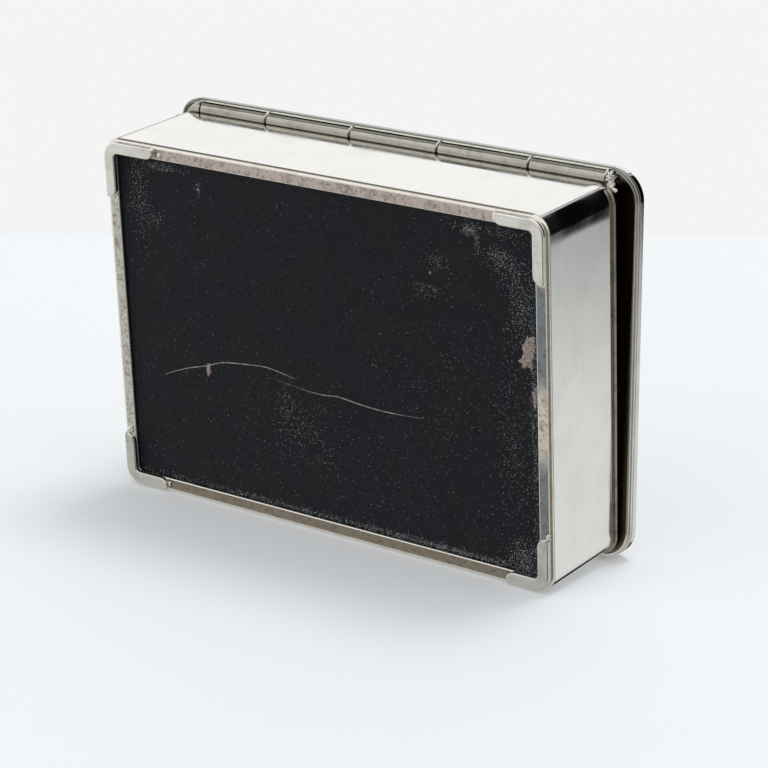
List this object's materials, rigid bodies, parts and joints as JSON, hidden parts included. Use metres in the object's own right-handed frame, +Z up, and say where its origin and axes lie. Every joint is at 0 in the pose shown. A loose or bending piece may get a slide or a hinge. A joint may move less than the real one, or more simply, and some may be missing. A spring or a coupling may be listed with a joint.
{
  "type": "tobacco box",
  "caption": "Low rectangular silver table box for tobacco, on corner feet, cedar lined, with an overhanging beaded lid on a long back hinge and a leather-covered base.",
  "frame": {"origin": "under the middle of the box, on the surface that its feet stand on", "axes": "+X along the length, to the right of someone in front of the box; +Y towards the hinge at the back; +Z up"},
  "size_m": [0.1726, 0.1226, 0.0479],
  "materials": {
    "polished_silver": "polished, with fine handling scratches",
    "tarnished_silver": "lightly tarnished",
    "black_leather": "fine grained and worn, with pale scratches",
    "cedar": "plain sawn and unvarnished"
  },
  "bodies": {
    "box": {"body_shell": "polished_silver", "body_rim_wire": "polished_silver", "foot_back_left": "polished_silver", "foot_back_right": "polished_silver", "foot_front_left": "polished_silver", "foot_front_right": "polished_silver", "base_leather": "black_leather", "base_board": "cedar", "liner_bottom": "cedar", "liner_back": "cedar", "liner_front": "cedar", "liner_left": "cedar", "liner_right": "cedar", "hinge_knuckle_1": "tarnished_silver", "hinge_knuckle_3": "tarnished_silver", "hinge_knuckle_5": "tarnished_silver", "hinge_pin": "tarnished_silver", "hinge_pin_solder": "tarnished_silver"},
    "lid": {"hinge_knuckle_2": "tarnished_silver", "hinge_knuckle_4": "tarnished_silver", "lid_shell": "polished_silver", "lid_rim_moulding": "polished_silver", "lid_frame": "polished_silver", "lid_liner": "cedar"}
  },
  "joints": [
    {"name": "lid_hinge", "type": "hinge", "parent": "box", "child": "lid", "pos_m": [0, 0.0586, 0.04008], "axis": [-1, 0, 0], "range_deg": [0, 118]}
  ]
}
